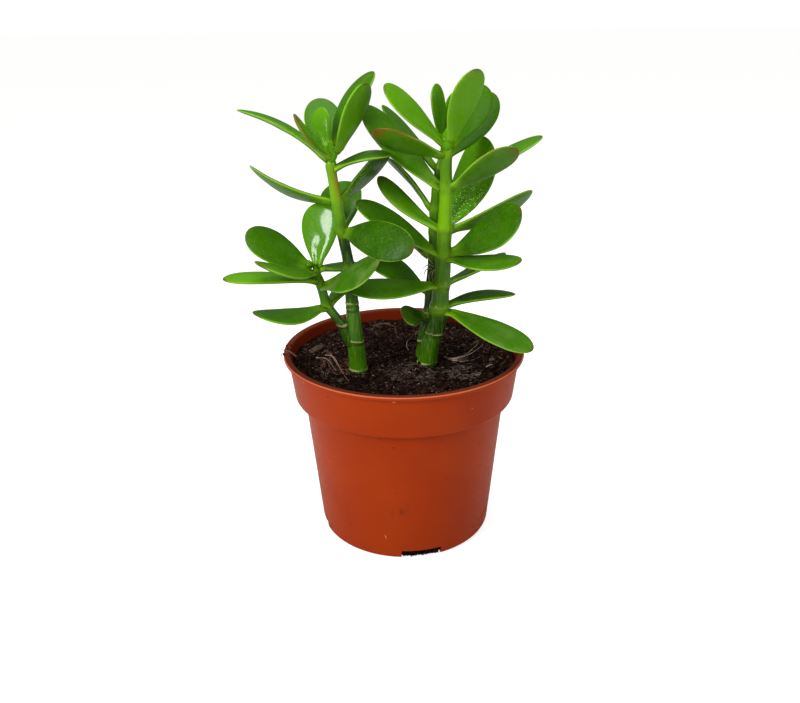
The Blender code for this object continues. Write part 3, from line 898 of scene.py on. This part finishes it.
def leaf_half_width(t, width):
    """Half the width, t of the way from stalk to tip: a blade that grows out of a stalk."""
    blade = t ** 0.9 * math.sqrt(max(0.0, 1.0 - t)) / 0.4015 if t > 0.0 else 0.0
    return math.hypot(width / 2 * blade, STALK_WIDTH / 2 * (1.0 - t) ** 2.6)


def leaf_half_thickness(t):
    """Half the thickness: plump in the middle, closing at the tip, round at the stalk."""
    rounding = math.sqrt(max(0.0, 1.0 - t ** 6))
    body = LEAF_THICKNESS / 2 * min(1.0, 0.6 + 0.8 * t) * (1.0 - 0.15 * t * t) * rounding
    return body + 0.9 * (1.0 - t) ** 5


def build_leaf(name, stem, height, heading, rise, reach, width, arch, turn, *look):
    """One leaf's skin, placed on its stem by a row of the leaf list."""
    green, red, bloom_and_sheen, dimples = look
    seed = sum(ord(letter) * (k + 3) for k, letter in enumerate(name)) % 97
    centre, stem_radius = stem_at(stem, height)
    heading = math.radians(heading)
    rise = math.radians(rise)
    outward = Vector((*on_circle(1.0, heading), 0.0))
    upright = Vector((0.0, 0.0, 1.0))
    stand_off = stem_radius + 0.3 + LEAF_THICKNESS * 0.3 * abs(math.sin(rise))
    start = centre + outward * stand_off
    tip = centre + (outward * math.cos(rise) + upright * math.sin(rise)) * reach
    length = (tip - start).length
    along = (tip - start).normalized()
    above = (upright - along * upright.dot(along)).normalized()
    turn = math.radians(turn)
    face = above * math.cos(turn) + along.cross(above) * math.sin(turn)
    across = face.cross(along)
    points, places = [], []
    for i in range(LEAF_RINGS):
        share = i / (LEAF_RINGS - 1)
        t = min(0.9995, 1.0 - (1.0 - share) ** 1.7)
        middle = start + along * (t * length) + face * (arch * length * 4 * t * (1.0 - t))
        if i == 0:
            middle = start - outward * (stand_off * 0.45) - upright * 0.6
        bend = 0.012 * length * math.sin(math.pi * t) * noise.noise(Vector((seed, 2.0, 1.5 * t)))
        middle += across * bend
        half = leaf_half_width(t, width)
        thick = leaf_half_thickness(t)
        for angle in around_circle(LEAF_AROUND):
            s, c = on_circle(1.0, angle)
            side = noise.noise(Vector((seed, 4.0 * t, math.copysign(1.0, s))))
            wavy = 1.0 + 0.035 * side * abs(s)
            bulge = math.copysign(abs(c) ** 0.85, c)
            lift = bulge * thick * (0.86 if c > 0 else 1.0)
            hollow = bump_at(s, 0.0, 0.45) * smooth_step(t, 0.75, 0.05)
            channel = 0.45 * thick * hollow if c > 0 else 0.0
            ripple = 0.16 * noise.noise(Vector((seed + 5.0 * t, 1.6 * s, c))) * (1.0 - abs(s))
            spot = middle + across * (s * half * wavy) + face * (lift - channel + ripple * thick)
            points.append(spot * MM)
            places.append((t, s, c))
    faces = skin_faces(LEAF_RINGS, LEAF_AROUND)
    piece = add_piece(f"{name}_skin", points, faces, leaf_flesh, "leaf_skin", name)
    note_points(piece, "leaf_place", places)
    note_points(piece, "leaf_look", [(green, red, bloom_and_sheen)] * len(points))
    note_values(piece, "leaf_dimples", [dimples] * len(points))
    note_values(piece, "leaf_gloss", [GLOSSY_LEAVES.get(name, 0.0)] * len(points))
    return piece


leaf_skins = [build_leaf(f"{side}_leaf_{number:02d}", LEAF_STEMS[side], *row)
              for side, rows in LEAVES.items() for number, row in enumerate(rows, 1)]
print("leaf skins:", len(leaf_skins))

# %% [markdown]
# ## Soil
#
# Potting soil is dark brown peat with bark, fibres and crumbs in it. It is too fine to model
# grain by grain everywhere, so it is made in layers: a lumpy body from several sizes of
# noise, loose crumbs scattered over it, then fibres and chips on top. Together they cast the
# small shadows that a texture alone would miss.

# %% Soil material
soil_mix, tree, shader = new_material("potting_soil", Roughness=0.95, Specular_IOR_Level=0.06)
coarse = use_group(tree, mottle_group, Scale=420.0, Detail=6.0, Low=0.42, High=0.62)
grit = use_group(tree, specks_group, Scale=900.0, Size=0.22, Share=0.12)
dark = use_group(tree, mottle_group, Scale=90.0, Detail=4.0, Low=0.35, High=0.65)
colour = blend_colours(coarse["Mask"], (0.0060, 0.0022, 0.0013), (0.034, 0.0125, 0.0070))
colour = paint(colour, dark["Mask"], 0.6, (0.0055, 0.0021, 0.0013))
colour = paint(colour, grit["Mask"], 0.6, (0.15, 0.075, 0.048))
feed(shader, "Base Color", colour)
emboss(shader, coarse["Raw"], 0.9, 0.0008)
print("material:", soil_mix.name)

# %% Soil body
SOIL_LEVEL = 90.8
SOIL_EDGE = 55.6
# Heaps and dips in the surface: x, y, how high and how wide.
HEAPS = [(4.0, -22.0, 1.6, 11.0), (-38.0, -8.0, 1.2, 9.0), (-8.0, 26.0, 1.4, 10.0),
         (34.0, 4.0, -1.6, 12.0), (20.0, 30.0, 1.0, 9.0), (-14.0, 34.0, 1.8, 4.0),
         (-22.2, -15.2, -0.9, 7.0), (11.4, -8.9, -0.9, 7.0)]


def soil_height(x, y):
    """Height of the soil at a place, all in millimetres, with lumps of several sizes."""
    height = SOIL_LEVEL - 0.4
    for heap_x, heap_y, rise, spread in HEAPS:
        height += rise * bump_at(math.hypot(x - heap_x, y - heap_y), 0.0, spread)
    height += 0.9 * noise.noise(Vector((x * 0.11, y * 0.11, 3.0)))
    height += 0.6 * noise.noise(Vector((x * 0.38, y * 0.38, 7.0)))
    height += 0.45 * abs(noise.noise(Vector((x * 0.95, y * 0.95, 11.0))))
    return height


TOP_RINGS = 84
SOIL_AROUND = 220
# The rings below the surface, down the inside of the pot: radius and height.
LOW_RINGS = [(53.6, 75.0), (49.2, 74.0), (42.5, 2.0), (30.0, 1.8)]
points, faces = [(0.0, 0.0, soil_height(0.0, 0.0) * MM)], []
for i in range(1, TOP_RINGS + 1):
    for angle in around_circle(SOIL_AROUND):
        x, y = on_circle(SOIL_EDGE * i / TOP_RINGS, angle)
        points.append((x * MM, y * MM, soil_height(x, y) * MM))
for radius, z in LOW_RINGS:
    for angle in around_circle(SOIL_AROUND):
        points.append((*on_circle(radius * MM, angle), z * MM))
for k in range(SOIL_AROUND):
    faces.append((0, 1 + k, 1 + (k + 1) % SOIL_AROUND))
last_ring = TOP_RINGS - 1 + len(LOW_RINGS)
for i in range(last_ring):
    for k in range(SOIL_AROUND):
        a = 1 + i * SOIL_AROUND + k
        b = 1 + i * SOIL_AROUND + (k + 1) % SOIL_AROUND
        faces.append((a, a + SOIL_AROUND, b + SOIL_AROUND, b))
faces.append(tuple(1 + last_ring * SOIL_AROUND + k for k in range(SOIL_AROUND)))
add_piece("soil_body", points, faces, soil_mix, "potting_soil", "soil")
print("soil points:", len(points))

# %% [markdown]
# ## Crumbs
#
# A crumb is a small ball pushed out of shape. Thousands of separate objects would be slow, so
# they are all joined into one mesh, scattered by a seeded random generator that gives the
# same soil every time.


# %% Scatter the crumbs
def ball_shape(level):
    """Points and faces of a small ball, for copying."""
    shape = bmesh.new()
    bmesh.ops.create_icosphere(shape, subdivisions=level, radius=1.0)
    found = [v.co.copy() for v in shape.verts]
    corners = [tuple(v.index for v in f.verts) for f in shape.faces]
    shape.free()
    return found, corners


small_ball = ball_shape(1)
big_ball = ball_shape(2)
chance = random.Random(41)
points, faces = [], []


def add_crumb(x, y, z, size, ball):
    """One irregular lump, in millimetres, flattened where it would sink below the pot."""
    first = len(points)
    squash = Vector([chance.uniform(*limits) for limits in ((0.7, 1.3), (0.7, 1.3), (0.5, 0.9))])
    spin = Euler([chance.uniform(0, 6.3) for _ in range(3)]).to_matrix()
    seed = chance.uniform(0, 50)
    for corner in ball[0]:
        lump = 1.0 + 0.55 * noise.noise(corner * 1.3 + Vector((seed, 0, 0)))
        spot = spin @ (corner * squash) * size * lump
        points.append(((x + spot.x) * MM, (y + spot.y) * MM, max(0.05, z + spot.z) * MM))
    faces.extend(tuple(first + k for k in corner) for corner in ball[1])


CRUMBS = 2600
# Where the stems leave the soil, and how wide a circle around each stays free.
STEM_FEET = [(-22.2, -15.2, 4.8), (11.4, -8.9, 5.2), (9.3, 0.3, 3.6)]


def in_a_stem(x, y):
    """Whether a place on the soil is taken by a stem."""
    return any(math.hypot(x - a, y - b) < c for a, b, c in STEM_FEET)


for _ in range(CRUMBS):
    radius = 55.0 * math.sqrt(chance.random())
    x, y = on_circle(radius, chance.uniform(0, 2 * math.pi))
    if in_a_stem(x, y):
        continue
    size = 0.22 + 0.75 * chance.random() ** 3
    add_crumb(x, y, soil_height(x, y) + size * 0.3, size, big_ball if size > 0.6 else small_ball)
add_piece("soil_crumbs", points, faces, soil_mix, "potting_soil")
print("crumb points:", len(points))

# %% [markdown]
# ## Fibres and roots
#
# Peat holds pale fibres and old roots. Each one is a thin tube along a bent line. They lie
# at all angles, some half buried, and a few longer roots curl over the surface.

# %% Fibre material
fibre_mix, tree, shader = new_material("peat_fibre", Roughness=0.8, Specular_IOR_Level=0.25)
tone = add_node(tree, "Attribute", attribute_name="fibre_tone").outputs["Vector"]
parts = add_node(tree, "SeparateXYZ", {"Vector": tone}).outputs
colour = blend_colours(parts["X"], (0.040, 0.018, 0.011), (0.50, 0.38, 0.30))
colour = blend_colours(parts["Y"], colour, (0.30, 0.085, 0.050))
fine = use_group(tree, mottle_group, Scale=1100.0, Detail=3.0, Low=0.35, High=0.65)
colour = paint(colour, fine["Mask"], 0.45, (0.06, 0.035, 0.025))
feed(shader, "Base Color", colour)
emboss(shader, fine["Raw"], 0.5, 0.0002)
print("material:", fibre_mix.name)


# %% Helper for thin tubes
def add_thread(store, line, thick, tone, sides):
    """Adds a thin tapering tube along points in millimetres to a store of points and faces."""
    points, faces, tones = store
    first = len(points)
    line = [Vector(spot) for spot in line]
    for i, spot in enumerate(line):
        ahead = (line[min(i + 1, len(line) - 1)] - line[max(i - 1, 0)]).normalized()
        side = ahead.orthogonal().normalized()
        other = ahead.cross(side)
        share = i / (len(line) - 1)
        size = thick * (0.35 + 0.65 * math.sin(math.pi * min(1.0, share + 0.25)))
        for angle in around_circle(sides):
            s, c = on_circle(size, angle)
            points.append((spot + side * s + other * c) * MM)
            tones.append(tone)
    faces.extend(skin_faces(len(line), sides, first))


def smooth_line(corners, steps=6):
    """A soft curve through a few corners."""
    corners = [Vector(spot) for spot in corners]
    padded = [corners[0]] + corners + [corners[-1]]
    result = []
    for a, b, c, d in zip(padded, padded[1:], padded[2:], padded[3:]):
        for k in range(steps):
            s = k / steps
            result.append(0.5 * (2 * b + (c - a) * s + (2 * a - 5 * b + 4 * c - d) * s * s
                                 + (3 * b - a - 3 * c + d) * s ** 3))
    result.append(corners[-1])
    return result


# %% Scatter the fibres
# How far from the axis the middle of a fibre may lie, and how far its ends may reach.
FIBRE_LIMIT = 53.5
POT_LIMIT = 54.6
store = ([], [], [])
chance = random.Random(77)


def on_soil(x, y, lift):
    """A point a little above the soil."""
    return x, y, soil_height(x, y) + lift


def scatter_fibres(count, middle, spread, length, thick, pale, red=0.0):
    """Short bent fibres around a place.

    length, thick and pale are ranges; red is how red the reddest may be.
    """
    for _ in range(count):
        radius = spread * math.sqrt(chance.random())
        x, y = on_circle(radius, chance.uniform(0, 2 * math.pi))
        x, y = x + middle[0], y + middle[1]
        if math.hypot(x, y) > FIBRE_LIMIT or in_a_stem(x, y):
            continue
        heading = chance.uniform(0, 2 * math.pi)
        size = chance.uniform(*length)
        curl = chance.uniform(-1.1, 1.1)
        spots = []
        for k in range(6):
            share = k / 5 - 0.5
            px, py = on_circle(size * share, heading + curl * share)
            px, py = x + px, y + py
            pull = min(1.0, POT_LIMIT / math.hypot(px, py))
            lift = 0.35 + 0.9 * chance.random() * (0.25 - share * share)
            spots.append(on_soil(px * pull, py * pull, lift))
        thickness = chance.uniform(*thick)
        tone = (chance.uniform(*pale), chance.uniform(0, red), 0.0)
        add_thread(store, spots, thickness, tone, 4)


scatter_fibres(1500, (0.0, 0.0), 54.0, (0.8, 3.2), (0.04, 0.09), (0.05, 0.7))
scatter_fibres(330, (4.0, -22.0), 12.0, (1.0, 4.2), (0.035, 0.075), (0.1, 0.6))
scatter_fibres(170, (28.0, -22.0), 9.0, (1.0, 4.2), (0.035, 0.080), (0.2, 0.9))
scatter_fibres(150, (-33.0, -12.0), 11.0, (1.5, 5.0), (0.05, 0.12), (0.2, 0.8), 0.9)
scatter_fibres(60, (0.0, 0.0), 50.0, (0.8, 1.6), (0.12, 0.20), (0.8, 1.0))
fibres = add_piece("soil_fibres", store[0], store[1], fibre_mix, "potting_soil")
note_points(fibres, "fibre_tone", store[2])
print("fibre points:", len(store[0]))

# %% [markdown]
# ## Longer roots and bark
#
# A few things lie on the soil that the eye goes to: a pale root that curls out from the
# right stem, an arching fibre at the back, loose strands left of the left stem, brown chips
# of bark and a fibre that has been caught on the rim. The lines on the soil are given as x, y
# and the lift above it.

# %% Lay the longer roots
store = ([], [], [])
pale_root = (1.0, 0.03, 0.0)
brown_root = (0.45, 0.25, 0.0)
LONG_ROOTS = [
    ([(20.2, -1.0, 0.5), (23.0, -4.2, 0.9), (27.5, -4.4, 1.2), (33.0, 1.5, 1.2),
      (38.5, 9.0, 1.0), (42.0, 16.5, 0.6)], 0.32, pale_root),
    ([(21.0, -2.2, 0.4), (26.5, -6.0, 0.7), (31.0, -3.0, 0.6)], 0.20, pale_root),
    ([(22.0, -5.5, 0.4), (28.0, -7.6, 0.8), (34.0, -5.0, 0.8), (39.0, 1.0, 0.5)],
     0.16, pale_root),
    ([(26.0, -1.0, 0.3), (32.0, 4.5, 0.8), (38.0, 13.0, 0.9), (40.0, 20.0, 0.4)],
     0.16, pale_root),
    ([(-17.0, 34.0, 0.5), (-14.0, 38.0, 2.4), (-9.0, 40.5, 3.0), (-4.5, 36.0, 2.0),
      (-4.0, 29.0, 0.6)], 0.22, brown_root),
    ([(-38.0, 6.0, 0.6), (-36.0, -3.0, 1.6), (-33.0, -12.0, 1.6), (-29.0, -23.0, 0.8),
      (-26.0, -31.0, 0.3)], 0.34, (0.7, 0.75, 0.0)),
    ([(-40.0, 2.0, 0.5), (-35.0, -7.0, 2.2), (-31.0, -16.0, 1.4), (-27.5, -27.0, 0.5)],
     0.26, (0.9, 0.35, 0.0)),
    ([(-44.0, -3.0, 0.5), (-38.0, -9.0, 1.8), (-33.0, -19.0, 0.9)], 0.22, (0.9, 0.2, 0.0)),
    ([(2.5, 6.0, 0.4), (1.5, 12.0, 1.2), (2.5, 19.0, 1.0), (5.0, 25.0, 0.4)],
     0.22, (0.6, 0.1, 0.0)),
    ([(40.0, -14.5, 0.6), (42.5, -13.0, 0.8), (44.5, -12.8, 0.6)], 0.34, (1.0, 0.0, 0.0)),
    ([(34.0, -25.0, 0.5), (36.5, -24.3, 0.6)], 0.28, (1.0, 0.0, 0.0)),
]
for corners, thick, tone in LONG_ROOTS:
    add_thread(store, smooth_line([on_soil(*spot) for spot in corners]), thick, tone, 6)
rim_fibre = [(-53.0, -9.0, 95.0), (-56.5, -7.0, 97.0), (-59.0, -5.5, 96.9),
             (-61.5, -2.0, 96.3), (-64.5, 2.0, 96.6)]
add_thread(store, smooth_line(rim_fibre), 0.30, (0.25, 0.1, 0.0), 6)
rim_thread = [(-57.0, -8.0, 96.6), (-60.3, -6.5, 95.6), (-61.2, -7.0, 92.5), (-60.2, -8.5, 90.3)]
add_thread(store, smooth_line(rim_thread), 0.18, (0.15, 0.1, 0.0), 6)
roots = add_piece("loose_roots", store[0], store[1], fibre_mix, "potting_soil")
note_points(roots, "fibre_tone", store[2])
print("root points:", len(store[0]))

# %% Bark chips
bark_mix, tree, shader = new_material("bark_chip", Roughness=0.9, Specular_IOR_Level=0.2)
grainy = use_group(tree, mottle_group, Scale=600.0, Detail=6.0, Low=0.35, High=0.65)
broad = use_group(tree, mottle_group, Scale=140.0, Detail=4.0, Low=0.35, High=0.65)
colour = blend_colours(grainy["Mask"], (0.030, 0.019, 0.013), (0.115, 0.080, 0.060))
colour = paint(colour, broad["Mask"], 0.6, (0.055, 0.022, 0.014))
feed(shader, "Base Color", colour)
emboss(shader, grainy["Raw"], 0.9, 0.0005)
chance = random.Random(9)
points, faces = [], []
BARK_THICK = 0.7
BARK_LIFT = 0.8
# Each chip's x and y on the soil, its half length and its half width.
BARK = [(-45.0, 10.0, 5.0, 2.6), (-38.5, 4.5, 2.6, 1.5), (-14.0, 36.0, 3.6, 2.0),
        (26.0, -22.0, 2.4, 1.4), (-5.0, -30.0, 2.2, 1.3), (38.0, 18.0, 2.6, 1.4),
        (8.0, 32.0, 2.4, 1.5), (-24.0, 20.0, 2.4, 1.2), (-30.0, -32.0, 2.0, 1.2),
        (44.0, -6.0, 1.9, 1.1)]
for x, y, long, wide in BARK:
    first = len(points)
    tilts = [chance.uniform(-0.5, 0.5), chance.uniform(-0.5, 0.5), chance.uniform(0, 6.3)]
    spin = Euler(tilts).to_matrix()
    for corner in big_ball[0]:
        lump = 1.0 + 0.35 * noise.noise(corner * 2.2 + Vector((x, y, 0)))
        spot = spin @ (corner * Vector((long, wide, BARK_THICK))) * lump
        points.append((spot + Vector(on_soil(x, y, BARK_LIFT))) * MM)
    faces.extend(tuple(first + k for k in corner) for corner in big_ball[1])
add_piece("bark_chips", points, faces, bark_mix, "potting_soil")
print("bark chips:", len(BARK))

# %% [markdown]
# ## Soil on the pot
#
# Soil also sits in the drain slots, where it hangs a little below the cut edge; the slots are
# packed full with dark crumbs, partly soil and partly a dark fill standing for the shade inside
# the slot. A few crumbs lie on the lip. They are made as the other crumbs are.

# %% Crumbs on the rim and in the slots
chance = random.Random(5)
points, faces = [], []
# Each slot is packed with fine crumbs and with rows of larger lumps among them: a dark fill,
# partly soil and partly standing for the shade inside the slot.
SHADE_FILL_LUMP_SIZE = 1.25
SHADE_FILL_LEVELS = (0.9, 2.1, 3.3)
SHADE_FILL_ACROSS = 27
for middle in SLOT_HEADINGS:
    for _ in range(520):
        heading = math.radians(middle + chance.uniform(-12.8, 12.8))
        spot = on_circle(chance.uniform(39.0, 43.2), heading)
        size = chance.uniform(0.30, 0.75)
        add_crumb(*spot, chance.uniform(0.9, 4.4), size, small_ball)
    for step in range(SHADE_FILL_ACROSS):
        heading = math.radians(middle - 12.5 + step * 25.0 / (SHADE_FILL_ACROSS - 1))
        for up in SHADE_FILL_LEVELS:
            spot = on_circle(chance.uniform(40.6, 41.3), heading)
            add_crumb(*spot, up, SHADE_FILL_LUMP_SIZE, big_ball)
# Crumbs on the lip: how many, then ranges for their heading in degrees, radius and size, and
# how far a crumb stands up for its size. The second lot lies where soil spilled at the left.
LIP_CRUMBS = [(26, (0, 360), (57.2, 59.4), (0.12, 0.32), 0.4),
              (14, (176, 192), (56.8, 60.0), (0.25, 0.55), 0.5)]
for count, headings, radii, sizes, stand in LIP_CRUMBS:
    for _ in range(count):
        heading = math.radians(chance.uniform(*headings))
        spot = on_circle(chance.uniform(*radii), heading)
        size = chance.uniform(*sizes)
        add_crumb(*spot, LIP_TOP + size * stand, size, small_ball)
add_piece("stray_crumbs_and_slot_shade", points, faces, soil_mix, "potting_soil")
print("stray crumb points:", len(points))

# %% [markdown]
# ## Buds and air roots
#
# At the top of the left branch a new bud swells beside the last leaf, and the tall stems end
# in a bright crown that the youngest leaves close around. Low on the back stem a few whitish
# air roots hang from a joint, which jade makes where it is kept moist.

# %% Buds
BUD_RINGS = 14
BUD_AROUND = 20
# Each bud's foot, half width, height and how bright a green it is.
BUDS = [("branch_bud", (-43.0, -19.0, 143.4), 1.8, 3.6, 0.6),
        ("left_crown", (-31.0, -16.2, 190.5), 2.9, 8.5, 1.0),
        ("right_crown", (19.8, -10.2, 194.0), 3.2, 9.5, 1.0)]


def build_bud(name, foot, wide, tall, green):
    """A rounded bud standing on its foot."""
    points, places = [], []
    for i in range(BUD_RINGS):
        t = i / (BUD_RINGS - 1)
        size = wide * math.sin(math.pi * (0.12 + 0.88 * t) ** 0.9) + 0.02
        for angle in around_circle(BUD_AROUND):
            points.append((Vector(foot) + Vector((*on_circle(size, angle), tall * t))) * MM)
            places.append((0.30 + 0.4 * t, 0.5 * math.cos(angle), 1.0))
    bud = add_piece(name, points, skin_faces(BUD_RINGS, BUD_AROUND), leaf_flesh, "leaf_skin")
    note_points(bud, "leaf_place", places)
    note_points(bud, "leaf_look", [(green, 0.0, 0.1)] * len(points))
    note_values(bud, "leaf_gloss", [0.3] * len(points))


for bud in BUDS:
    build_bud(*bud)
print("buds:", len(BUDS))

# %% Air roots
store = ([], [], [])
AIR_ROOTS = [
    [(14.0, -0.2, 136.5), (11.5, -2.0, 136.8), (10.2, -3.0, 134.5), (11.0, -3.2, 131.5)],
    [(14.5, -0.2, 135.5), (12.5, -2.4, 134.2), (12.8, -3.0, 131.0), (14.2, -2.6, 128.5)],
    [(14.8, 0.0, 137.5), (12.2, -1.6, 138.8), (9.8, -2.6, 137.5), (8.8, -3.0, 135.0)],
    [(15.2, -0.4, 136.0), (14.0, -2.6, 133.4), (14.8, -3.0, 129.5)],
    [(14.4, -0.2, 139.0), (12.0, -1.0, 142.0), (10.6, -2.0, 145.0)],
]
for corners in AIR_ROOTS:
    add_thread(store, smooth_line(corners), 0.27, (1.0, 0.0, 0.0), 6)
air_roots = add_piece("air_roots", store[0], store[1], fibre_mix, "stem_skin")
note_points(air_roots, "fibre_tone", store[2])
print("air roots:", len(AIR_ROOTS))
